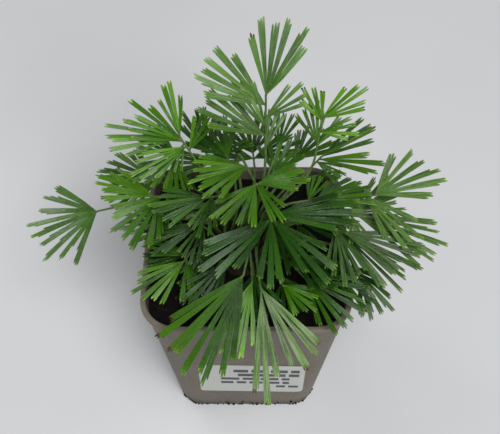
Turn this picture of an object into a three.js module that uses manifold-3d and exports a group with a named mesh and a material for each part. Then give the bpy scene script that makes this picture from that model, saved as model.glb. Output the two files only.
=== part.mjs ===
// Potted fern: a square nursery pot full of peat, with a fan-leaved fern growing from a woody crown
// in its middle. Millimetres, +Z up. The origin is the middle of the pot's flat underside, and the
// pot's labelled side faces -Y.
import * as THREE from 'three';
import { mergeVertices } from 'three/addons/utils/BufferGeometryUtils.js';
import Module from 'manifold-3d';

// Pot
const POT_WIDTH = 90; // across the outside of the lip
const POT_HEIGHT = 92;
const BASE_WIDTH = 67; // across the outside of the foot
const LIP_CORNER = 16; // outer corner radius of the lip
const BASE_CORNER = 12; // outer corner radius at the foot
const LIP_REACH = 1.2; // how far the lip stands out from the wall
const LIP_DEPTH = 2;
const WALL = 1.1;
const FLOOR = 1.6;
const DRAIN_RADIUS = 3;
const DRAIN_RING = 21; // from the middle of the floor to a drain hole
const DRAIN_HOLES = 8;
const CORNER_STEPS = 7;

// Label stuck on the front wall
const LABEL_LEFT = -22;
const LABEL_RIGHT = 27;
const LABEL_FOOT = 20; // height of its lower edge
const LABEL_HEIGHT = 32;
const LABEL_THICKNESS = 0.25;
const LABEL_GAP = 0.1;

// Peat and crown
const SOIL_DEPTH = 5; // from the lip down to the peat
const CROWN_RADIUS = 14;
const CROWN_HEIGHT = 4;
const FIT_GAP = 0.3; // left between pieces that touch

// Fern
const PLANT_SPREAD = 200; // tip to tip
const TABLE_SPREAD = 200; // the spread of the plant that the frond table describes
const TABLE_POT_WIDTH = 90; // the width of the pot whose lip that plant hangs over
const STIPE_RADIUS = 0.6;
const STIPE_SIDES = 5;
const STIPE_STEPS = 8;
const STIPE_RISE = 0.5; // how far up the stipe's first handle reaches, as a share of its chord
const STIPE_SWEEP = 0.4; // how far back its last handle reaches, as a share of its chord
const LEAF_THICKNESS = 0.7;
const LEAF_DROOP = 0.07; // how far a fan's tips hang below its plane, as a share of its reach
const EDGE_SHORTENING = 0.25; // how much shorter the free parts of a fan's outermost blades are
const LENGTH_SCATTER = 0.12;
const SHOULDER = 0.72; // where a blade narrows to its tip, as a share of its free part
const PARTING = 0.7; // where blades part, against the distance at which equal blades would touch
const FLARE = 1.8; // how much wider a blade is at its shoulder than where it parts
const BLADE_SHARE = 0.9; // how much of the room between its neighbours a blade may fill
const NECK_BACK = 0.8; // how far a fan's neck reaches back past its own hub
const NECK_LENGTH = 1.6;
const NECK_WIDTH = 0.9;

const DEGREE = Math.PI / 180;
const GOLDEN = 0.61803399;
const growth = PLANT_SPREAD / TABLE_SPREAD;
const soilTop = POT_HEIGHT - SOIL_DEPTH;
const bodyWidth = POT_WIDTH - 2 * LIP_REACH;
const bodyCorner = LIP_CORNER - LIP_REACH;

// Each frond is a stipe that rises from its root on the crown and ends at a hub, with fans of
// blades on its last straight stretch.
//   root: distance and direction (degrees) from the middle of the crown
//   hub: across, deep and up from the middle of the peat
//   axis: heading, pitch and roll (degrees) of the straight stretch, which is `stem` long
//   rim: the way in which a frond that hangs over the lip moves out with it
//   fans: distance back from the hub, turn and spread (degrees), reach, number of blades, how
//     broad they are (the share of the reach at which equal blades would touch), and how far the
//     fan is tipped up (degrees)
const FRONDS = [
  // tall, back
  { root: [4, 75], hub: [8, 26, 70], axis: [90, 60, 0], stem: 26, fans: [
    [0, -14, 63, 32, 6, 0.42, 0], [4, 55, 54, 33, 6, 0.45, 8],
    [17, 62, 46, 31, 5, 0.42, -8], [22, -13, 46, 18, 4, 0.4, -12],
    [9, -52, 44, 20, 4, 0.4, 4], [13, 30, 40, 24, 4, 0.4, 6]] },
  // tall, right
  { root: [7, 45], hub: [32, 30, 53], axis: [75, 55, 0], stem: 16, fans: [
    [0, -47, 51, 22, 5, 0.4, 0], [1, 31, 66, 16, 4, 0.4, 8],
    [11, 24, 60, 18, 5, 0.4, -6], [12, -33, 22, 18, 2, 0.5, -8],
    [6, -75, 50, 17, 4, 0.4, 0]] },
  // right, behind the rim
  { root: [9, 28], hub: [33, 28, 31], axis: [30, 40, 0], stem: 8, fans: [
    [0, -19, 36, 29, 4, 0.42, 6], [1.5, -50, 28, 32, 3, 0.4, -6],
    [3, -72, 40, 17, 4, 0.4, 4]] },
  // high, back left
  { root: [7, 140], hub: [-28, 24, 48], axis: [130, 30, 0], stem: 8, fans: [
    [0, 61, 40, 32, 6, 0.4, 0], [0, -20, 40, 25, 4, 0.4, 6],
    [1.5, 18, 30, 28, 3, 0.4, -6], [2.5, 46, 30, 27, 4, 0.4, 12],
    [3, 128, 40, 14, 3, 0.3, -10], [5, 85, 44, 26, 5, 0.4, -4],
    [7, -60, 40, 22, 4, 0.4, 0]] },
  // left, over the rim
  { root: [9, 165], hub: [-40, 8, 28], axis: [180, 6, 0], stem: 10, fans: [
    [0, -15, 60, 26, 6, 0.45, 6], [3, 55, 90, 27, 7, 0.42, -8],
    [6, 100, 50, 14, 4, 0.42, 4]] },
  // far left
  { root: [11, 175], hub: [-65, 6, 20], axis: [190, -8, 0], stem: 10, fans: [
    [0, 7, 124, 32, 9, 0.37, 0]] },
  // far right
  { root: [10, 12], hub: [55, 7, 30], axis: [8, 5, 0], stem: 12, fans: [
    [0, 22, 84, 32, 6, 0.35, 4], [4, -60, 50, 30, 5, 0.38, -4]] },
  // right, front
  { root: [10, -30], hub: [39, -8, 24], axis: [-22, -12, 0], stem: 6, fans: [
    [0, -16, 38, 35, 6, 0.4, 0], [2, -62, 44, 26, 5, 0.4, 6]] },
  // low right, over the rim
  { root: [12, -35], hub: [48, -18, 9], axis: [-55, -20, 0], stem: 6, rim: [1, 0], fans: [
    [0, -6, 62, 23, 5, 0.4, 0]] },
  // front right
  { root: [12, -52], hub: [25, -27, 16], axis: [-50, -10, 0], stem: 6, fans: [
    [0, 17, 94, 28, 8, 0.36, 0]] },
  // front right, small
  { root: [12, -68], hub: [15, -31, 18], axis: [-60, -8, 0], stem: 5, fans: [
    [0, 25, 80, 17, 5, 0.45, 0]] },
  // front, hanging
  { root: [10, -62], hub: [6, -38, 24], axis: [-80, -35, 0], stem: 6, fans: [
    [0, -5, 20, 47, 3, 0.4, 0], [1.5, 27, 30, 40, 4, 0.42, 4]] },
  // front left, hanging
  { root: [9, -105], hub: [-1, -34, 30], axis: [-105, -30, 0], stem: 6, fans: [
    [0, -20, 60, 46, 9, 0.4, 0]] },
  // left front
  { root: [12, -140], hub: [-26, -19, 18], axis: [-125, -12, 0], stem: 6, fans: [
    [0, -17, 62, 25, 6, 0.42, 4], [1.5, 45, 38, 23, 4, 0.5, -6],
    [3, -75, 40, 22, 4, 0.42, 6]] },
  // left, under the high fans
  { root: [12, -158], hub: [-20, -6, 26], axis: [-160, -8, 0], stem: 6, fans: [
    [0, 0, 50, 24, 5, 0.45, 0], [2, 55, 50, 20, 5, 0.42, 4]] },
  // top of the middle
  { root: [1, -60], hub: [4, -4, 50], axis: [-70, 5, 0], stem: 15, fans: [
    [0, -55, 74, 24, 5, 0.42, -4], [0, 81, 58, 22, 4, 0.6, 6],
    [1.5, 15, 34, 22, 3, 0.45, -10], [11, -92, 90, 25, 7, 0.42, 4]] },
  // middle, front
  { root: [5, -60], hub: [10, -17, 44], axis: [-80, -10, 0], stem: 6, fans: [
    [0, -61, 44, 35, 5, 0.45, 0], [1, -10, 26, 33, 3, 0.45, -4],
    [0, 36, 36, 34, 4, 0.45, 0], [1.5, 84, 40, 36, 5, 0.5, 6]] },
  // right, under the far fan
  { root: [9, -14], hub: [48, 1, 23], axis: [0, -5, 0], stem: 8, fans: [
    [0, -21, 50, 40, 6, 0.4, 0], [3, 45, 40, 30, 4, 0.4, 6],
    [6, 12, 40, 27, 5, 0.4, 6], [3, -80, 46, 20, 4, 0.42, 10]] },
  // back left, under the high fans
  { root: [10, 147], hub: [-32, 25, 33], axis: [200, 0, 0], stem: 6, fans: [
    [0, 16, 66, 21, 5, 0.45, 0], [1, 75, 50, 22, 5, 0.45, -6],
    [2, -60, 50, 24, 5, 0.45, 8]] },
  // front, under the hanging fans
  { root: [5.5, -88], hub: [2.5, -32, 22], axis: [-87, -25, 0], stem: 5, fans: [
    [0, -21, 44, 31, 6, 0.5, 0]] },
  // under the middle: left, front and right
  { root: [6, -165], hub: [-5, 3, 31], axis: [-165, -5, 0], stem: 4, fans: [
    [0, 6, 44, 23, 4, 0.5, 0]] },
  { root: [7, -45], hub: [12, -4, 25], axis: [-65, -6, 0], stem: 4, fans: [
    [0, -6, 44, 25, 4, 0.5, 0]] },
  { root: [10, -125], hub: [-14, -10, 17], axis: [-140, -15, 0], stem: 4, fans: [
    [0, 21, 62, 23, 6, 0.45, 0]] },
  { root: [12, -172], hub: [-30, 2, 15], axis: [-172, -6, 0], stem: 4, fans: [
    [0, 4, 70, 19, 6, 0.42, 0], [2, -60, 44, 18, 4, 0.42, 4]] },
  { root: [11, -42], hub: [34, -16, 15], axis: [-40, -12, 0], stem: 4, fans: [
    [0, 2, 60, 29, 6, 0.42, 0]] },
  // back, over the rim
  { root: [10, 120], hub: [-18, 34, 26], axis: [120, 12, 0], stem: 8, fans: [
    [0, -20, 70, 27, 6, 0.42, 0], [5, 60, 60, 25, 5, 0.42, -6],
    [3, -85, 50, 22, 5, 0.42, 4]] },
  { root: [8, 95], hub: [3, 40, 20], axis: [95, 5, 0], stem: 8, fans: [
    [0, 5, 100, 27, 7, 0.4, 0], [3, -70, 55, 24, 5, 0.42, 6],
    [3, 75, 55, 24, 5, 0.42, 6]] },
  { root: [10, 65], hub: [23, 40, 16], axis: [62, 0, 0], stem: 8, fans: [
    [0, -8, 80, 26, 6, 0.42, 0]] },
  { root: [13, 151], hub: [-43, 27, 18], axis: [152, 0, 0], stem: 8, fans: [
    [0, 0, 90, 25, 7, 0.42, 0], [3, 70, 50, 24, 5, 0.42, 6]] },
  // young, beside the crown
  { root: [11, 45], hub: [32, 29, 17], axis: [10, 5, 0], stem: 3, fans: [
    [0, 7, 60, 12, 3, 0.45, 0]] },
  { root: [12, 135], hub: [-23, 24, 13], axis: [160, 15, 0], stem: 3, fans: [
    [0, -15, 70, 10, 3, 0.45, 0]] },
  { root: [12, 115], hub: [-15, 26, 11], axis: [130, 20, 0], stem: 3, fans: [
    [0, -15, 50, 9, 3, 0.45, 0]] },
  { root: [12, 165], hub: [-31, 13, 11], axis: [180, 15, 0], stem: 3, fans: [
    [0, 4, 64, 10, 3, 0.45, 0]] },
  // filling the canopy: right, left and back
  { root: [12, 22], hub: [29, 2, 33], axis: [10, 0, 0], stem: 6, fans: [
    [0, 0, 46, 26, 5, 0.38, 0], [2, -52, 40, 22, 4, 0.4, -4],
    [3, 60, 50, 16, 4, 0.4, 4]] },
  { root: [7, -22], hub: [40, -11, 28], axis: [-20, -6, 0], stem: 6, fans: [
    [0, 0, 52, 36, 6, 0.38, 0], [3, -55, 44, 26, 5, 0.4, -2]] },
  { root: [7.5, -179], hub: [-16, 0, 37], axis: [185, -4, 0], stem: 5, fans: [
    [0, 5, 70, 24, 6, 0.42, 0], [2, 70, 50, 20, 5, 0.42, -2]] },
  { root: [10.5, 133], hub: [-8, 22, 37], axis: [110, 15, 0], stem: 5, fans: [
    [0, 10, 90, 24, 7, 0.42, 0]] },
  { root: [12, 85], hub: [12, 24, 25], axis: [72, 5, 0], stem: 5, fans: [
    [0, 0, 90, 22, 6, 0.42, 0]] },
  // lowest, just over the peat
  { root: [13, 0], hub: [24, 4, 14], axis: [0, 0, 0], stem: 4, fans: [
    [0, 8, 84, 22, 6, 0.42, 0], [2, -62, 50, 16, 4, 0.42, -5]] },
  { root: [13.2, -25], hub: [22, -12, 10], axis: [-20, 0, 0], stem: 3, fans: [
    [0, 0, 70, 18, 5, 0.42, 0]] },
  { root: [13, -165], hub: [-28, -10, 9], axis: [190, 0, 0], stem: 4, fans: [
    [0, 0, 70, 17, 5, 0.42, 0]] },
  { root: [13, -115], hub: [-13, -16, 8], axis: [-120, -5, 0], stem: 3, fans: [
    [0, 0, 90, 21, 7, 0.42, 0]] },
  { root: [13, -80], hub: [3, -20, 11], axis: [-85, -8, 0], stem: 3, fans: [
    [0, 0, 80, 21, 7, 0.42, 0]] },
  { root: [13.2, -44], hub: [16, -20, 7], axis: [-70, 0, 0], stem: 3, fans: [
    [0, 0, 90, 19, 6, 0.42, 0]] },
  // middle tier, between the high fans and the lowest
  { root: [13, 12], hub: [31, 12, 22], axis: [20, 0, 0], stem: 5, fans: [
    [0, 0, 80, 24, 6, 0.42, 0]] },
  { root: [9, -178], hub: [-34, 0, 22], axis: [180, -4, 0], stem: 5, fans: [
    [0, -3, 60, 21, 5, 0.42, 0]] },
  { root: [7.5, -114], hub: [-8, -22, 21], axis: [-110, -14, 0], stem: 4, fans: [
    [0, -18, 60, 24, 6, 0.42, 0]] },
  { root: [9, -52], hub: [21, -17, 20], axis: [-42, 0, 0], stem: 4, fans: [
    [0, 2, 70, 22, 6, 0.42, 0]] },
  { root: [9, 75], hub: [14, 26, 40], axis: [70, 20, 0], stem: 5, fans: [
    [0, 10, 60, 18, 5, 0.42, 0]] },
];

const colours = {
  pot: { color: 0x8c827d, roughness: 0.55, metalness: 0 },
  label: { color: 0xe2e2e0, roughness: 0.6, metalness: 0 },
  soil: { color: 0x1c1613, roughness: 1, metalness: 0 },
  crown: { color: 0x3a2717, roughness: 0.9, metalness: 0 },
  leaf: { color: 0x3f7a26, roughness: 0.45, metalness: 0 },
};

const wasm = await Module();
wasm.setup();

function toManifold(geometry) {
  const bare = geometry.clone();
  bare.deleteAttribute('normal');
  bare.deleteAttribute('uv');
  const merged = mergeVertices(bare);
  return new wasm.Manifold(new wasm.Mesh({
    numProp: 3,
    vertProperties: merged.attributes.position.array,
    triVerts: merged.index.array,
  }));
}

function toGeometry(manifold) {
  const mesh = manifold.getMesh();
  const geometry = new THREE.BufferGeometry();
  geometry.setAttribute('position', new THREE.BufferAttribute(mesh.vertProperties, 3));
  geometry.setIndex(new THREE.BufferAttribute(mesh.triVerts, 1));
  geometry.computeVertexNormals();
  return geometry;
}

function piece(name, geometry, look) {
  const mesh = new THREE.Mesh(geometry, new THREE.MeshStandardMaterial(look));
  mesh.name = name;
  return mesh;
}

function roundedSquare(width, corner) {
  const inner = width / 2 - corner;
  const shape = new THREE.Shape();
  shape.absarc(inner, inner, corner, 0, Math.PI / 2);
  shape.absarc(-inner, inner, corner, Math.PI / 2, Math.PI);
  shape.absarc(-inner, -inner, corner, Math.PI, 1.5 * Math.PI);
  shape.absarc(inner, -inner, corner, 1.5 * Math.PI, 2 * Math.PI);
  return shape;
}

// A block between two rounded squares: low and high are { width, corner, z }.
function taperedBlock(low, high) {
  const geometry = new THREE.ExtrudeGeometry(roundedSquare(high.width, high.corner), {
    depth: high.z - low.z,
    steps: 1,
    bevelEnabled: false,
    curveSegments: CORNER_STEPS,
  });
  geometry.translate(0, 0, low.z);
  const position = geometry.attributes.position;
  const middle = (low.z + high.z) / 2;
  const highInner = high.width / 2 - high.corner;
  const lowInner = low.width / 2 - low.corner;
  const shrink = (value) => {
    const side = Math.sign(value);
    const out = (value - side * highInner) / high.corner;
    return side * lowInner + out * low.corner;
  };
  for (let i = 0; i < position.count; i += 1) {
    if (position.getZ(i) < middle) {
      position.setXY(i, shrink(position.getX(i)), shrink(position.getY(i)));
    }
  }
  return geometry;
}

// The pot's tapering wall, set in (negative) or out (positive) by offset, from one height to another.
function potBody(offset, from, to) {
  const at = (z) => {
    const share = z / POT_HEIGHT;
    return {
      width: BASE_WIDTH + (bodyWidth - BASE_WIDTH) * share + 2 * offset,
      corner: BASE_CORNER + (bodyCorner - BASE_CORNER) * share + offset,
      z,
    };
  };
  return taperedBlock(at(from), at(to));
}

function makePot() {
  const lip = taperedBlock(
    { width: POT_WIDTH, corner: LIP_CORNER, z: POT_HEIGHT - LIP_DEPTH },
    { width: POT_WIDTH, corner: LIP_CORNER, z: POT_HEIGHT },
  );
  const overshoot = FLOOR;
  let pot = toManifold(potBody(0, 0, POT_HEIGHT))
    .add(toManifold(lip))
    .subtract(toManifold(potBody(-WALL, FLOOR, POT_HEIGHT + overshoot)));
  for (let i = 0; i < DRAIN_HOLES; i += 1) {
    const angle = (i + 0.5) * 2 * Math.PI / DRAIN_HOLES;
    const hole = new THREE.CylinderGeometry(DRAIN_RADIUS, DRAIN_RADIUS, 3 * FLOOR, 12);
    hole.rotateX(Math.PI / 2);
    hole.translate(DRAIN_RING * Math.cos(angle), DRAIN_RING * Math.sin(angle), FLOOR / 2);
    pot = pot.subtract(toManifold(hole));
  }
  return toGeometry(pot);
}

function makeLabel() {
  const top = LABEL_FOOT + LABEL_HEIGHT;
  const skin = toManifold(potBody(LABEL_GAP + LABEL_THICKNESS, 0, POT_HEIGHT))
    .subtract(toManifold(potBody(LABEL_GAP, -FLOOR, POT_HEIGHT + FLOOR)));
  const window = new THREE.BoxGeometry(LABEL_RIGHT - LABEL_LEFT, POT_WIDTH, LABEL_HEIGHT);
  window.translate((LABEL_LEFT + LABEL_RIGHT) / 2, -POT_WIDTH / 2, (LABEL_FOOT + top) / 2);
  return toGeometry(skin.intersect(toManifold(window)));
}

// How high the crown stands at a distance from its middle.
function crownRise(distance) {
  const share = Math.min(Math.max(0, distance) / CROWN_RADIUS, 1);
  return CROWN_HEIGHT * (1 - share * share);
}

function makeCrown() {
  const profile = [new THREE.Vector2(0, 0), new THREE.Vector2(CROWN_RADIUS, 0)];
  const rings = 5;
  for (let i = 1; i <= rings; i += 1) {
    const distance = CROWN_RADIUS * (1 - i / rings);
    profile.push(new THREE.Vector2(distance, crownRise(distance)));
  }
  const crown = new THREE.LatheGeometry(profile, 24);
  crown.rotateX(Math.PI / 2);
  crown.translate(0, 0, soilTop + FIT_GAP);
  return crown;
}

// Rises from the root, bends over to the frond's heading and ends in a straight stretch.
class Stipe extends THREE.Curve {
  constructor(root, bend, hub, direction) {
    super();
    const chord = root.distanceTo(bend);
    const rise = root.clone().add(new THREE.Vector3(0, 0, STIPE_RISE * chord));
    const sweep = bend.clone().addScaledVector(direction, -STIPE_SWEEP * chord);
    this.arch = new THREE.CubicBezierCurve3(root, rise, sweep, bend);
    this.bend = bend;
    this.hub = hub;
    const straight = bend.distanceTo(hub);
    this.share = chord / (chord + straight);
  }

  getPoint(t, target = new THREE.Vector3()) {
    if (t < this.share) {
      return this.arch.getPoint(t / this.share, target);
    }
    return target.lerpVectors(this.bend, this.hub, (t - this.share) / (1 - this.share));
  }
}

// The directions of a frond's straight stretch: along it, to its left and up from its face.
function frondFrame([heading, pitch, roll]) {
  const turned = new THREE.Euler(roll * DEGREE, -pitch * DEGREE, heading * DEGREE, 'ZYX');
  const frame = new THREE.Matrix4().makeRotationFromEuler(turned);
  const along = new THREE.Vector3();
  const left = new THREE.Vector3();
  const up = new THREE.Vector3();
  frame.extractBasis(along, left, up);
  return { along, left, up };
}

// Evenly scattered values between -1 and 1.
const scatter = (seed) => 2 * ((seed * GOLDEN) % 1) - 1;

// The outline of a fan lying flat, with its hub at the origin and its middle along +X.
function fanOutline(spread, reach, blades, breadth, seed) {
  const step = spread * DEGREE / blades;
  const fork = PARTING * breadth * reach;
  const half = fork * step / 2;
  const shoulder = fork + SHOULDER * (1 - EDGE_SHORTENING) * (reach - fork);
  const flare = Math.min(FLARE, BLADE_SHARE * shoulder / fork);
  const polar = (distance, angle) => [distance * Math.cos(angle), distance * Math.sin(angle)];
  const side = NECK_WIDTH / 2;
  const points = [[-NECK_BACK, side], [-NECK_BACK, -side], [NECK_LENGTH, -side]];
  points.push(polar(fork, -spread * DEGREE / 2));
  for (let i = 0; i < blades; i += 1) {
    const place = i - (blades - 1) / 2;
    const angle = place * step;
    const outward = blades > 1 ? 2 * place / (blades - 1) : 0;
    const shortening = EDGE_SHORTENING * outward * outward;
    const free = (reach - fork) * (1 - shortening + LENGTH_SCATTER * scatter(seed + i));
    const at = (share, halves) => {
      const along = fork + share * free;
      return [
        along * Math.cos(angle) - halves * half * Math.sin(angle),
        along * Math.sin(angle) + halves * half * Math.cos(angle),
      ];
    };
    points.push(at(SHOULDER, -flare), at(1, 0), at(SHOULDER, flare));
    points.push(polar(fork, angle + step / 2));
  }
  points.push([NECK_LENGTH, side]);
  return points.map(([x, y]) => new THREE.Vector2(x, y));
}

function makeFan(frame, hub, fan, seed) {
  const [back, turn, spread, fullReach, blades, breadth, cup] = fan;
  const reach = fullReach * growth;
  const outline = new THREE.Shape(fanOutline(spread, reach, blades, breadth, seed));
  const plate = new THREE.ExtrudeGeometry(outline, {
    depth: LEAF_THICKNESS, steps: 1, bevelEnabled: false,
  });
  plate.translate(0, 0, -LEAF_THICKNESS / 2);
  const position = plate.attributes.position;
  for (let i = 0; i < position.count; i += 1) {
    const outSquared = position.getX(i) ** 2 + position.getY(i) ** 2;
    position.setZ(i, position.getZ(i) - LEAF_DROOP * outSquared / reach);
  }
  const flat = frame.along.clone().multiplyScalar(Math.cos(turn * DEGREE))
    .addScaledVector(frame.left, Math.sin(turn * DEGREE));
  const out = flat.clone().multiplyScalar(Math.cos(cup * DEGREE))
    .addScaledVector(frame.up, Math.sin(cup * DEGREE));
  const face = frame.up.clone().multiplyScalar(Math.cos(cup * DEGREE))
    .addScaledVector(flat, -Math.sin(cup * DEGREE));
  const place = new THREE.Matrix4().makeBasis(out, face.clone().cross(out), face);
  place.setPosition(hub.clone().addScaledVector(frame.along, -back * growth));
  return plate.applyMatrix4(place);
}

function makeStipe(root, bend, hub, along) {
  const section = new THREE.Shape();
  section.absarc(0, 0, STIPE_RADIUS, 0, 2 * Math.PI);
  const sides = STIPE_SIDES;
  return new THREE.ExtrudeGeometry(new THREE.Shape(section.getSpacedPoints(sides).slice(0, sides)), {
    steps: STIPE_STEPS, bevelEnabled: false, extrudePath: new Stipe(root, bend, hub, along),
  });
}

function makeFrond({ root, hub, axis, stem, fans, rim = [0, 0] }, number) {
  const frame = frondFrame(axis);
  const [distance, direction] = root;
  const foot = new THREE.Vector3(
    distance * Math.cos(direction * DEGREE),
    distance * Math.sin(direction * DEGREE),
    soilTop + crownRise(distance - STIPE_RADIUS) + 2 * FIT_GAP,
  );
  const tip = new THREE.Vector3(...hub).multiplyScalar(growth);
  const overhang = (POT_WIDTH - TABLE_POT_WIDTH) / 2;
  tip.add(new THREE.Vector3(rim[0] * overhang, rim[1] * overhang, soilTop));
  const bend = tip.clone().addScaledVector(frame.along, -stem * growth);
  let frond = toManifold(makeStipe(foot, bend, tip, frame.along));
  fans.forEach((fan, i) => {
    frond = frond.add(toManifold(makeFan(frame, tip, fan, 7 * number + 3 * i)));
  });
  return toGeometry(frond);
}

const plant = new THREE.Group();
plant.add(piece('pot', makePot(), colours.pot));
plant.add(piece('label', makeLabel(), colours.label));
plant.add(piece('soil', potBody(-WALL - FIT_GAP, FLOOR + FIT_GAP, soilTop), colours.soil));
plant.add(piece('crown', makeCrown(), colours.crown));
FRONDS.forEach((frond, i) => {
  const name = `frond_${String(i + 1).padStart(2, '0')}`;
  plant.add(piece(name, makeFrond(frond, i + 1), colours.leaf));
});

export default plant;
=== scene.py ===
import math
import random

import bpy
from mathutils import Matrix, Vector, noise


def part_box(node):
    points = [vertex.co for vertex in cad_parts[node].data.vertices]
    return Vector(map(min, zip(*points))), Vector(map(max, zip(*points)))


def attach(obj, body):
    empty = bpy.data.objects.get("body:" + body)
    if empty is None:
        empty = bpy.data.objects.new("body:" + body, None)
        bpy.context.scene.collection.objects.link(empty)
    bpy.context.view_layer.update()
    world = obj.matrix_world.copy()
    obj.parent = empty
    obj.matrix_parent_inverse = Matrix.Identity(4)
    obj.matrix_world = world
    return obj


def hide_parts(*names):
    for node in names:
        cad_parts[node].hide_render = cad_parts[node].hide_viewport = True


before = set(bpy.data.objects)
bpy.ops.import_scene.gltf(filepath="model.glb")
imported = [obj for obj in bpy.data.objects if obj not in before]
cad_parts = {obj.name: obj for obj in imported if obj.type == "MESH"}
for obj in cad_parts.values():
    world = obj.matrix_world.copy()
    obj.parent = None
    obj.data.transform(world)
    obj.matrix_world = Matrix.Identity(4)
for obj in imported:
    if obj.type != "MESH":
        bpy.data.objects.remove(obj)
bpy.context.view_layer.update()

MM = 0.001

# Pot, as the frame has it
pot_low, pot_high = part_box("pot")
POT_WIDTH = (pot_high.x - pot_low.x) / MM
POT_HEIGHT = pot_high.z / MM
BASE_WIDTH = 67
LIP_CORNER = 16
BASE_CORNER = 12
LIP_REACH = 1.2
LIP_DEPTH = 2
WALL = 1.1
FLOOR = 1.6
DRAIN_RADIUS = 3
DRAIN_RING = 21
DRAIN_HOLES = 8
SOIL_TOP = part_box("soil")[1].z / MM

# Label
label_low, label_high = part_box("label")
LABEL_LEFT = label_low.x / MM
LABEL_RIGHT = label_high.x / MM
LABEL_FOOT = label_low.z / MM
LABEL_TOP = label_high.z / MM
LABEL_SLANT = 0.035

# Crown
CROWN_RADIUS = 14
CROWN_HEIGHT = 4
FIT_GAP = 0.3

# Fern
STIPE_RADIUS = 0.6
STIPE_RISE = 0.5  # how far up a stem's first handle reaches, as a share of its chord
STIPE_SWEEP = 0.4  # how far back its last handle reaches, as a share of its chord
LEAF_DROOP = 0.07  # how far a fan's tips hang below its plane, as a share of its reach
EDGE_SHORTENING = 0.25  # how much shorter the free parts of a fan's outermost blades are
LENGTH_SCATTER = 0.12
GOLDEN = 0.61803399  # golden ratio, for lengths that scatter evenly

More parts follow.
